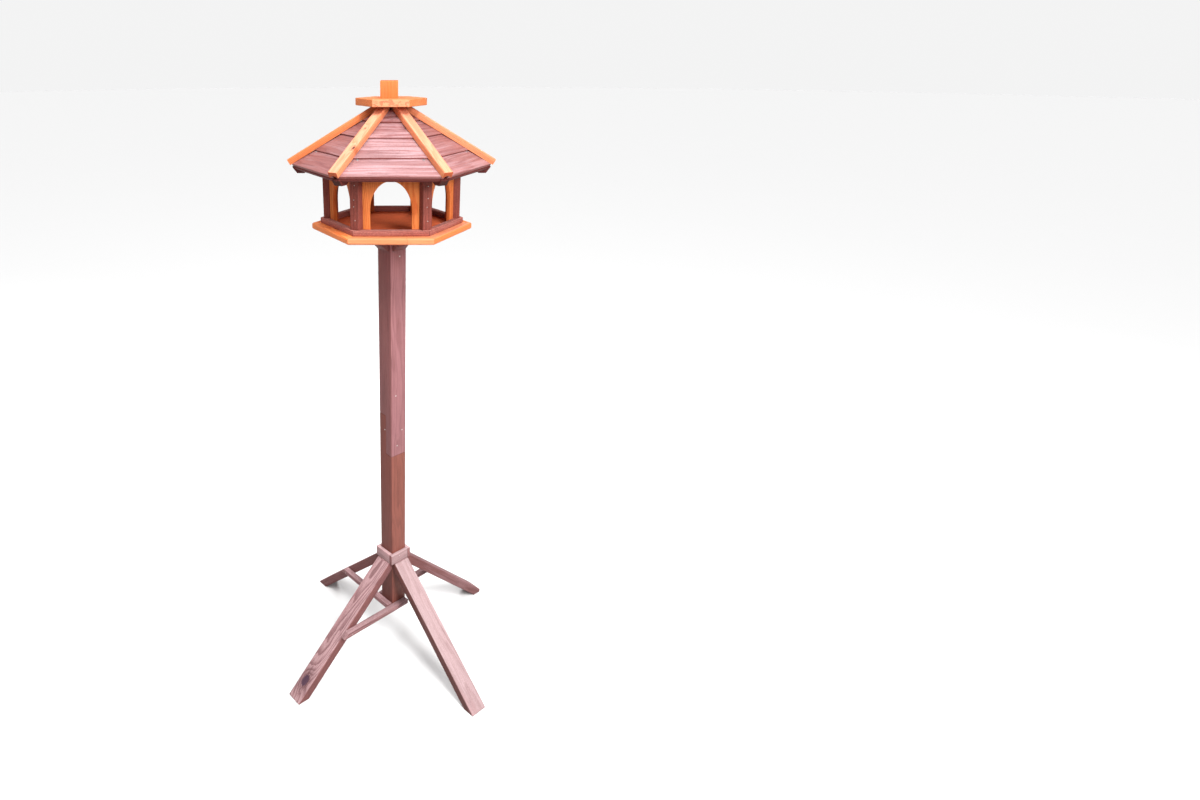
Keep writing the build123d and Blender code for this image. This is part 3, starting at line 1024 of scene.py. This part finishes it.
@dataclass(frozen=True)
class BasePlate:
    """Border, floor and rim under the house; the tuples follow the sides."""

    bench: Bench
    border: Batch = Batch("border_batten_{}", "base_border_{}", Stain.HONEY, Look.HONEY, 1, 0.0009)
    border_middle: float = 0.137
    border_height: float = 1.2165
    border_hearts: tuple[Span, ...] = ((0.012, 0.05),) * 3 + ((0.002, 0.022),) + ((0.012, 0.05),) * 2
    # Tones, and painted light on the two front battens.
    border_tone_and_light: tuple[ToneAndPaintedLight, ...] = (
        ToneAndPaintedLight(),
        ToneAndPaintedLight(-0.04),
        ToneAndPaintedLight(-0.02),
        ToneAndPaintedLight(0.10),
        ToneAndPaintedLight(0.12, 0.35, 0.35),
        ToneAndPaintedLight(0.02, 0.6),
    )
    floor: Batch = Batch("floor_panel", "floor", Stain.FLOOR, Look.FLOOR, 8, 0.0006, (0.01, 0.045))
    floor_height: float = 1.215
    rim: Batch = Batch("rim_batten_{}", "rim_battens", Stain.PLUM, Look.ROSY_PLUM, 11, 0.0010, (0.02, 0.04))
    rim_middle: float = 0.1335
    rim_height: float = 1.230
    # Tones, and painted light on the rims' tops, most on the three front rims.
    rim_tone_and_light: tuple[ToneAndPaintedLight, ...] = (ToneAndPaintedLight(-0.04, 0.1),) * 3 + (ToneAndPaintedLight(0.10, 0.6),) * 3

    def build(self) -> None:
        """Make the base."""
        for index, azimuth in enumerate(SIDES):
            origin = spot(azimuth, self.border_middle, 0.0, self.border_height)
            lie = {"origin": origin, "heart": self.border_hearts[index]}
            self.bench.make(self.border, index, tangent(azimuth), UP, self.border_tone_and_light[index], **lie)
        self.bench.make(self.floor, 0, Vector((1, 0, 0)), UP, origin=UP * self.floor_height)
        for index, (azimuth, piece) in enumerate(zip(SIDES, self.bench.part(self.rim.node))):
            origin = spot(azimuth, self.rim_middle, 0.0, self.rim_height)
            self.bench.make(self.rim, index, tangent(azimuth), UP, self.rim_tone_and_light[index], piece, origin=origin)


@dataclass(frozen=True)
class House:
    """Posts and arched walls; the tones follow the corners and the sides."""

    bench: Bench
    posts: Batch = Batch("house_post_{}", "corner_post_{}", Stain.PLUM, Look.PLUM, 21, 0.0009, (0.006, 0.03))
    walls: Batch = Batch(
        "wall_panel_{}", "arched_wall_{}", Stain.HONEY, Look.AMBER, 31, 0.0008, (0.01, 0.075)
    )
    post_middle: float = 0.143
    wall_middle: float = 0.121
    wall_height: float = 1.30
    post_tones: tuple[float, ...] = (0.02, 0.0, -0.05, 0.0, 0.05, 0.04)
    wall_tones: tuple[float, ...] = (-0.06, -0.02, -0.05, 0.0, 0.0, -0.03)
    # Painted shade on the walls' inner sides.
    wall_painted_shade: float = 0.75

    def build(self) -> None:
        """Make the posts, and the walls, whose inner sides carry painted shade."""
        for index, azimuth in enumerate(CORNERS):
            origin = spot(azimuth, self.post_middle, 0.0, self.wall_height)
            wear_and_painted_light = ToneAndPaintedLight(self.post_tones[index])
            self.bench.make(self.posts, index, UP, radial(azimuth), wear_and_painted_light, origin=origin)
        for index, azimuth in enumerate(SIDES):
            origin, out = spot(azimuth, self.wall_middle, 0.0, self.wall_height), radial(azimuth)
            wear_and_painted_light = ToneAndPaintedLight(self.wall_tones[index], self.wall_painted_shade, lit_way=-out)
            self.bench.make(self.walls, index, UP, out, wear_and_painted_light, origin=origin)


@dataclass(frozen=True)
class Roof:
    """Boards, eave battens, rafters, hip battens, cap and finial.

    The board tuples run from the eave up, and the others follow the sides and the corners.
    """

    bench: Bench
    corner_round: float = 0.0045
    board_easing: float = 0.0009
    board_tones: tuple[float, ...] = (0.04, 0.0, -0.03, -0.14)
    # Painted light on the boards' outer faces, less on the top board under the cap.
    board_painted_light: tuple[float, ...] = (1.0, 1.0, 0.9, 0.6)
    board_hearts: tuple[float, ...] = (0.030, 0.017, 0.004, -0.009)
    slope_hearts: tuple[float, ...] = (0.056, 0.062, 0.068, 0.074, 0.080, 0.086)
    # Painted light by slope, most on the front slope.
    slope_painted_light: tuple[float, ...] = (0.5, 0.5, 0.5, 0.5, 1.0, 0.55)
    eaves: Batch = Batch("eave_batten_{}", "eave_battens", Stain.PLUM, Look.DEEP_PLUM, 71, 0.0008)
    rafters: Batch = Batch(
        "hip_rafter_{}", "hip_rafters", Stain.PLUM, Look.DEEP_PLUM, 77, 0.0008, (0.01, 0.04)
    )
    hips: Batch = Batch("hip_cover_{}", "hip_batten_{}", Stain.HONEY, Look.HONEY, 90, 0.0007, (0.004, 0.05))
    # Painted light on the hip battens' tops.
    hip_painted_light: tuple[float, ...] = (1.0, 0.6, 0.6, 0.3, 1.0, 1.0)
    hip_tones: tuple[float, ...] = (0.0, -0.02, -0.04, -0.04, 0.04, 0.04)
    cap: Batch = Batch("roof_cap", "cap", Stain.HONEY, Look.FIGURED, 96, 0.0006, (0.0, 0.012))
    finial: Batch = Batch("roof_finial", "finial", Stain.HONEY, Look.HONEY, 97, 0.0006, (0.0, 0.07))

    def build(self) -> None:
        """Make the roof."""
        for index, azimuth in enumerate(SIDES):
            self.build_slope(index, azimuth)
        for index, (azimuth, piece) in enumerate(zip(SIDES, self.bench.part(self.eaves.node))):
            out = off_slope(azimuth, ROOF_PITCH)
            self.bench.make(self.eaves, index, tangent(azimuth), out, ToneAndPaintedLight(-0.12), piece)
        for index, (azimuth, piece) in enumerate(zip(CORNERS, self.bench.part(self.rafters.node))):
            along = climb(azimuth, HIP_PITCH)
            self.bench.make(self.rafters, index, along, tangent(azimuth), ToneAndPaintedLight(-0.10), piece)
        for index, azimuth in enumerate(CORNERS):
            face, painted_light = off_slope(azimuth, HIP_PITCH), self.hip_painted_light[index]
            wear_and_painted_light = ToneAndPaintedLight(self.hip_tones[index], painted_light, painted_light * 0.5, face)
            self.bench.make(self.hips, index, climb(azimuth, HIP_PITCH), face, wear_and_painted_light)
        front = Vector((0, -1, 0))
        # Painted light on the cap's front face.
        self.bench.make(self.cap, 0, Vector((1, 0, 0)), front, ToneAndPaintedLight(0.0, 0.35, lit_way=front))
        self.bench.make(self.finial, 0, UP, Vector((1, 0.15, 0)))

    def build_slope(self, index: int, azimuth: float) -> None:
        """Make the four boards of one slope, with the lower corners rounded off.

        Args:
            index: Number of the side, from nought.
            azimuth: Its azimuth.
        """
        name, node = f"roof_board_{index + 1}_{{}}", f"roof_slope_{index + 1}"
        boards = Batch(name, node, Stain.ROOF, Look.ROOF, 40 + 4 * index, self.board_easing)
        out = off_slope(azimuth, ROOF_PITCH)
        for step, board in enumerate(self.bench.part(node, lambda point: point.z)):
            reach = max(vertex.co.dot(radial(azimuth)) for vertex in board.data.vertices)

            def lower_end(middle: Vector, way: Vector, reach: float = reach) -> bool:
                """Pick the upright arrises at the lower ends of the board."""
                return abs(way.z) > 0.98 and middle.dot(radial(azimuth)) > reach - 0.004

            self.bench.bevel_where(board, lower_end, self.corner_round, 4)
            heart = (self.board_hearts[step], self.slope_hearts[index])
            tone = self.board_tones[step] + 0.02 * math.sin((index + 1) * 2.4 + step)
            wear_and_painted_light = ToneAndPaintedLight(tone, self.slope_painted_light[index] * self.board_painted_light[step], lit_way=out)
            self.bench.make(boards, step, tangent(azimuth), out, wear_and_painted_light, board, heart=heart)


@dataclass(frozen=True)
class Stand:
    """Mast, cleats, collar, legs and braces; the tuples follow the mast's faces."""

    bench: Bench
    masts: tuple[Batch, ...] = (
        Batch("upper_mast", "mast_upper", Stain.MAST, Look.MAST, 100, 0.0016, (0.02, 0.05), 3),
        Batch("lower_mast", "mast_lower", Stain.RED_MAST, Look.RED_MAST, 101, 0.0016, (0.02, 0.05), 3),
    )
    mast_middles: Span = (0.95, 0.40)
    # Painted light on the mast's front right face; least is the share on its other faces.
    mast_painted_light: float = 0.8
    mast_least: Span = (0.35, 0.15)
    cleats: Batch = Batch("mast_cleat_{}", "mast_cleats", Stain.MAST, Look.MAST, 102, 0.0010, (0.005, 0.05))
    collar: Batch = Batch(
        "collar_batten_{}", "leg_collar", Stain.LEG, Look.PALE_LEG, 106, 0.0010, (0.005, 0.05)
    )
    braces: Batch = Batch("leg_brace_{}", "leg_braces", Stain.MAST, Look.LEG, 110, 0.0010, (0.005, 0.05))
    legs: Batch = Batch("splayed_leg_{}", "leg_{}", Stain.LEG, Look.LEG, 81, 0.0018, (-0.004, 0.045), 3)
    leg_tones: tuple[float, ...] = (-0.12, -0.06, 0.0, 0.0)
    # Painted light on the legs' outer faces.
    leg_faded: tuple[float, ...] = (0.5, 0.5, 0.85, 1.0)

    def build(self) -> None:
        """Make the stand; the front right leg is the pale one."""
        face = radial(FACES[3])
        for batch, middle, least in zip(self.masts, self.mast_middles, self.mast_least):
            wear_and_painted_light = ToneAndPaintedLight(0.0, self.mast_painted_light, least, face)
            self.bench.make(batch, 0, UP, face, wear_and_painted_light, origin=UP * middle)
        cleats = self.bench.part(self.cleats.node)
        collar = self.bench.part(self.collar.node)
        braces = self.bench.part(self.braces.node)
        for index, azimuth in enumerate(FACES):
            self.bench.make(self.cleats, index, UP, radial(azimuth), piece=cleats[index])
            # The collar gets painted light, most on its tops.
            self.build_level(self.collar, index, collar[index], ToneAndPaintedLight(0.15, 1.0, 0.75))
            face, legs = off_slope(azimuth, LEG_PITCH), self.legs
            if index == 3:
                legs = replace(legs, look=Look.PALE_LEG)
            wear_and_painted_light = ToneAndPaintedLight(self.leg_tones[index], self.leg_faded[index], lit_way=face)
            self.bench.make(legs, index, -climb(azimuth, LEG_PITCH), face, wear_and_painted_light)
        for index, piece in enumerate(braces):
            # The braces get painted light, most on their tops.
            self.build_level(self.braces, index, piece, ToneAndPaintedLight(0.0, 1.0, 0.4))

    def build_level(self, batch: Batch, index: int, piece: Piece, wear_and_painted_light: ToneAndPaintedLight) -> None:
        """Make a level batten, whose grain follows its length.

        Args:
            batch: Its batch.
            index: Its number, from nought.
            piece: Its solid.
            wear_and_painted_light: Its tone and its painted light and shade.
        """
        middle = self.bench.middle(piece)
        spread = (vertex.co - middle for vertex in piece.data.vertices)
        farthest = max(spread, key=lambda reach: reach.xy.length)
        grain = max((tangent(azimuth) for azimuth in FACES), key=lambda way: abs(way.dot(farthest)))
        self.bench.make(batch, index, grain, UP.cross(grain), wear_and_painted_light, piece)


@dataclass(frozen=True)
class Fixings:
    """Nails and screws, each modelled once and copied.

    Roof heads are placed by their distances up the slope and back from the hip's line, and those of the
    stand by azimuth, distance across and height.
    """

    bench: Bench
    nail_radius: float = 0.0011
    nail_depth: float = 0.0012
    nail_dome: float = 0.0004
    screw_radius: float = 0.0029
    screw_depth: float = 0.0016
    screw_rim: float = 0.000638
    screw_bevel: float = 0.0004
    recess: Triple = (0.003335, 0.000754, 0.0018)
    recess_height: float = 0.0011
    sunk: float = 0.0006
    eave: float = 0.19486
    eave_height: float = 1.3564
    lap: float = 0.0025
    laps: tuple[float, ...] = (0.0, 0.0535, 0.1145, 0.1645, 0.2066)
    board_nails: tuple[Span, ...] = (
        (0.0172, 0.0185),
        (0.0436, 0.0168),
        (0.0910, 0.0147),
        (0.1319, 0.0135),
        (0.1859, 0.0095),
    )
    board_screw: Span = (0.0507, 0.0183)
    floor_top: float = 1.224
    post_face: float = 0.1542
    post_nails: tuple[float, ...] = (0.102, 0.076, 0.063, 0.029)
    mast_face: float = 0.0235
    mast_nails_proud: float = 0.0002
    mast_screws_deep: float = 0.0001
    mast_nails: tuple[Triple, ...] = (
        (FACES[3], 0.0040, 1.1483),
        (FACES[3], -0.0090, 0.7954),
        (FACES[3], 0.0112, 0.6941),
        (FACES[3], -0.0050, 0.6533),
        (FACES[2], -0.0031, 0.6955),
        (FACES[0], 0.0050, 0.6900),
        (FACES[1], -0.0040, 0.6600),
        (FACES[1], 0.0070, 0.7040),
    )
    # Near-black heads: painted shade of the countersunk holes.
    mast_screws: tuple[Triple, ...] = (
        (FACES[3], 0.0023, 0.9641),
        (FACES[3], 0.0045, 0.7870),
        (FACES[3], -0.0015, 0.7550),
    )
    brace_face: float = 0.0397
    brace_nails: tuple[Span, ...] = ((0.006, 0.1500), (-0.1757, 0.1480))
    leg_nails: tuple[Triple, ...] = ((0.0500, 0.0167, 0.2827), (0.0518, -0.0147, 0.2810))
    collar_face: float = 0.0332
    collar_nail: Triple = (FACES[3], -0.0057, 0.3165)

    def nail(self) -> Piece:
        """Model a nail's head: a shallow dome on a short shank, looking up."""
        bpy.ops.object.select_all(action="DESELECT")
        bpy.ops.mesh.primitive_cylinder_add(vertices=14, radius=self.nail_radius, depth=self.nail_depth)
        head = bpy.context.active_object
        self.bench.bevel_where(head, lambda middle, way: middle.z > self.nail_depth * 0.4, self.nail_dome, 3)
        self.bench.smooth(head)
        return head

    def screw(self) -> Piece:
        """Model a countersunk screw's head with a cross recess, looking up."""
        bpy.ops.object.select_all(action="DESELECT")
        bpy.ops.mesh.primitive_cylinder_add(vertices=28, radius=self.screw_radius, depth=self.screw_depth)
        head = bpy.context.active_object
        with editing():
            bpy.ops.mesh.select_all(action="DESELECT")
        for polygon in head.data.polygons:
            polygon.select = polygon.normal.z > 0.9
        with editing():
            bpy.ops.mesh.select_mode(type="FACE")
            bpy.ops.mesh.inset(thickness=self.screw_rim, depth=self.screw_bevel)
        for turn in (0.0, math.radians(90.0)):
            bpy.ops.object.select_all(action="DESELECT")
            where = (0.0, 0.0, self.recess_height)
            bpy.ops.mesh.primitive_cube_add(size=1.0, location=where, rotation=(0.0, 0.0, turn))
            slot = bpy.context.active_object
            slot.scale = self.recess
            bpy.ops.object.transform_apply(location=True, rotation=True, scale=True)
            self.bench.only(head)
            cut = head.modifiers.new("recess", "BOOLEAN")
            cut.object = slot
            cut.operation = "DIFFERENCE"
            cut.solver = "EXACT"
            bpy.ops.object.modifier_apply(modifier=cut.name)
            bpy.data.objects.remove(slot)
        return self.bench.ease(head, 0.00015, 1)

    def set_at(
        self, head: Piece, point: Vector, out: Vector, turn: float = 0.0, size: float = 1.0
    ) -> Piece:
        """Copy a head to a place, sunk by half a nail's depth.

        Args:
            head: The nail or screw.
            point: The place.
            out: Direction that it looks in.
            turn: Its turn about that direction.
            size: How many times wider it is.

        Returns:
            The copy.
        """
        copy = bpy.data.objects.new("head", head.data.copy())
        bpy.context.scene.collection.objects.link(copy)
        lie = UP.rotation_difference(out).to_matrix().to_4x4()
        wider = Matrix.Diagonal((size, size, 1.0, 1.0))
        turned = Matrix.Rotation(turn, 4, "Z")
        copy.data.transform(Matrix.Translation(point - out * self.sunk) @ lie @ turned @ wider)
        return copy

    def on_slope(
        self, head: Piece, azimuth: float, side: float, place: Span, turn: float = 0.0
    ) -> Piece:
        """Copy a head to a slope.

        Args:
            head: The nail or screw.
            azimuth: Azimuth of the slope.
            side: Which hip it is near, -1 or 1.
            place: Distances up the slope and back from the hip's line.
            turn: Its turn.

        Returns:
            The copy.
        """
        rise, back = place
        level = self.eave - rise * math.cos(ROOF_PITCH)
        across = level * math.tan(HALF_SIDE) - back / math.cos(HALF_SIDE)
        out = off_slope(azimuth, ROOF_PITCH)
        point = spot(azimuth, self.eave, across * side, self.eave_height) + climb(azimuth, ROOF_PITCH) * rise
        return self.set_at(head, point - out * self.sink(rise), out, turn)

    def sink(self, rise: float) -> float:
        """Return how far a board's face lies under the line of the lower arrises at a rise up the slope."""
        for low, high in zip(self.laps, self.laps[1:]):
            if low <= rise <= high:
                return self.lap * (rise - low) / (high - low)
        return 0.0

    def on_upright(
        self, head: Piece, reach: float, rows: Iterable[Triple], size: float = 1.0
    ) -> list[Piece]:
        """Return copies of a head on upright faces, each at its azimuth, distance across and height."""
        return [
            self.set_at(head, spot(azimuth, reach, across, height), radial(azimuth), size=size)
            for azimuth, across, height in rows
        ]

    def gather(self, heads: list[Piece], name: str, stain: Stain, look: Look) -> None:
        """Join copies into one piece, with its name and its finish."""
        self.bench.only(*heads)
        bpy.ops.object.join()
        self.bench.dress(heads[0], name, stain, look)

    def build(self) -> None:
        """Make every nail and screw."""
        nail, screw = self.nail(), self.screw()
        self.build_roof(nail, screw)
        posts = []
        for number, azimuth in enumerate(CORNERS, start=1):
            for step, height in enumerate(self.post_nails):
                stray = 0.0016 * math.sin(5.3 * number + 2.1 * step)
                posts.append((azimuth, stray, self.floor_top + height + 2 * stray))
        self.gather(self.on_upright(nail, self.post_face, posts), "post_nails", Stain.PLUM, Look.BRIGHT)
        self.build_stand(nail)
        bpy.data.objects.remove(nail)
        bpy.data.objects.remove(screw)

    def build_roof(self, nail: Piece, screw: Piece) -> None:
        """Nail and screw the boards down.

        Args:
            nail: The nail.
            screw: The screw.
        """
        nails: list[Piece] = []
        screws: list[Piece] = []
        for number, azimuth in enumerate(SIDES, start=1):
            for side in (-1.0, 1.0):
                for step, (rise, back) in enumerate(self.board_nails):
                    stray = 0.0012 * math.sin(7.1 * number + 3.3 * step + side)
                    nails.append(self.on_slope(nail, azimuth, side, (rise + stray, back + stray)))
                turn = (0.4 + side) * number
                screws.append(self.on_slope(screw, azimuth, side, self.board_screw, turn))
        self.gather(nails, "roof_nails", Stain.ROOF, Look.BRIGHT)
        self.gather(screws, "roof_screws", Stain.ROOF, Look.ZINC)

    def build_stand(self, nail: Piece) -> None:
        """Nail the mast, the braces, the front right leg and the collar, and sink three screws, whose
        near-black heads paint the shade of their holes.

        Args:
            nail: The nail.
        """
        heads = self.on_upright(nail, self.mast_face + self.mast_nails_proud, self.mast_nails, 1.7)
        screws = self.on_upright(nail, self.mast_face - self.mast_screws_deep, self.mast_screws, 1.9)
        for azimuth in FACES[1:]:
            rows = [(azimuth, across, height) for across, height in self.brace_nails]
            heads += self.on_upright(nail, self.brace_face, rows)
        out = off_slope(FACES[3], LEG_PITCH)
        heads += [self.set_at(nail, spot(FACES[3], *place), out, size=1.4) for place in self.leg_nails]
        heads += self.on_upright(nail, self.collar_face, [self.collar_nail], 1.2)
        self.gather(heads, "stand_nails", Stain.MAST, Look.BRIGHT)
        self.gather(screws, "sunk_screws", Stain.MAST, Look.DARK)


@dataclass(frozen=True)
class Studio:
    """Plain pale floor, soft lights and the camera; each lamp has a place, a width and a power."""

    floor_radius: float = 40.0
    lamps: tuple[tuple[str, Triple, float, float], ...] = (
        ("overhead", (-1.1, -0.8, 3.5), 1.8, 46.0),
        ("front", (1.8, -2.6, 2.5), 1.4, 92.0),
        ("back", (0.4, 2.5, 2.0), 1.4, 60.0),
    )
    sun_place: Triple = (1.0, -2.1, 4.1)
    sun_power: float = 2.9
    aim: Triple = (0.0, 0.0, 1.0)
    horizon: float = 0.34
    zenith: float = 0.76
    backdrop: Triple = (0.90, 0.90, 0.90)
    lens: float = 21.959
    place: Triple = (0.01947, -1.66851, 1.57838)
    pitch: float = 22.507
    heading: float = 0.29
    roll: float = -0.12
    shift: Span = (0.1693, -0.0348)

    def build(self) -> None:
        """Set up the studio."""
        self.build_floor()
        self.build_lights()
        self.build_surround()
        self.build_camera()

    def build_floor(self) -> None:
        """Lay the floor."""
        bpy.ops.object.select_all(action="DESELECT")
        bpy.ops.mesh.primitive_circle_add(vertices=96, radius=self.floor_radius, fill_type="NGON")
        floor = bpy.context.active_object
        floor.name = "studio_floor"
        floor.data.materials.append(make_material("pale_floor", FloorFinish().sockets))

    def build_lights(self) -> None:
        """Hang the lamps and the sun."""
        for name, where, size, power in self.lamps:
            data = bpy.data.lights.new(name, "AREA")
            data.shape = "DISK"
            data.size = size
            data.energy = power
            self.hang(name, data, where)
        bpy.data.objects["back"].visible_glossy = False
        sun = bpy.data.lights.new("key", "SUN")
        sun.energy = self.sun_power
        sun.angle = math.radians(18.0)
        self.hang("key", sun, self.sun_place)
        bpy.context.scene.view_settings.view_transform = "Standard"

    def hang(self, name: str, data: bpy.types.Light, where: Triple) -> None:
        """Hang a light at a place, aimed at the middle of the feeder, as a lamp of this name."""
        lamp = bpy.data.objects.new(name, data)
        lamp.location = where
        aim = Vector(self.aim) - Vector(where)
        lamp.rotation_euler = aim.to_track_quat("-Z", "Y").to_euler()
        bpy.context.scene.collection.objects.link(lamp)

    def build_surround(self) -> None:
        """Light the feeder from a pale surround that is dimmer near the horizon than the camera sees it."""
        world = bpy.data.worlds.new("studio_surround")
        world.use_nodes = True
        ply = Ply(world.node_tree)
        height = ply.add("ShaderNodeTexCoord", {}, {}, "Generated").split()[2]
        span = {"From Min": 0.0, "From Max": 0.9, "To Min": self.horizon, "To Max": self.zenith}
        strength = ply.add("ShaderNodeMapRange", {}, {"Value": height, **span})
        lit = ply.add("ShaderNodeBackground", {}, {"Strength": strength})
        seen = ply.add("ShaderNodeBackground", {}, {"Color": self.backdrop})
        ray = ply.add("ShaderNodeLightPath", {}, {}, "Is Camera Ray")
        ply.close("ShaderNodeOutputWorld", ply.add("ShaderNodeMixShader", {}, {0: ray, 1: lit, 2: seen}))
        bpy.context.scene.world = world

    def build_camera(self) -> None:
        """Set the camera at the viewing angle of the photograph."""
        data = bpy.data.cameras.new("viewpoint")
        data.sensor_width = 36.0
        data.lens = self.lens
        data.shift_x, data.shift_y = self.shift
        camera = bpy.data.objects.new("viewpoint", data)
        bpy.context.scene.collection.objects.link(camera)
        turn = Matrix.Rotation(math.radians(self.heading), 4, "Z")
        turn @= Matrix.Rotation(math.radians(90.0 - self.pitch), 4, "X")
        turn @= Matrix.Rotation(math.radians(self.roll), 4, "Z")
        camera.matrix_world = Matrix.Translation(self.place) @ turn
        bpy.context.scene.camera = camera


def main() -> None:
    """Build the feeder and its studio."""
    logging.basicConfig(level=logging.INFO, format="%(message)s")
    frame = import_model()
    looks = {look: make_material(look.value, finish.sockets) for look, finish in FINISHES.items()}
    bench = Bench(frame, looks)
    for assembly in (BasePlate(bench), House(bench), Roof(bench), Stand(bench), Fixings(bench)):
        assembly.build()
        log.info("built %s", type(assembly).__name__)
    Studio().build()


if __name__ == "__main__":
    main()
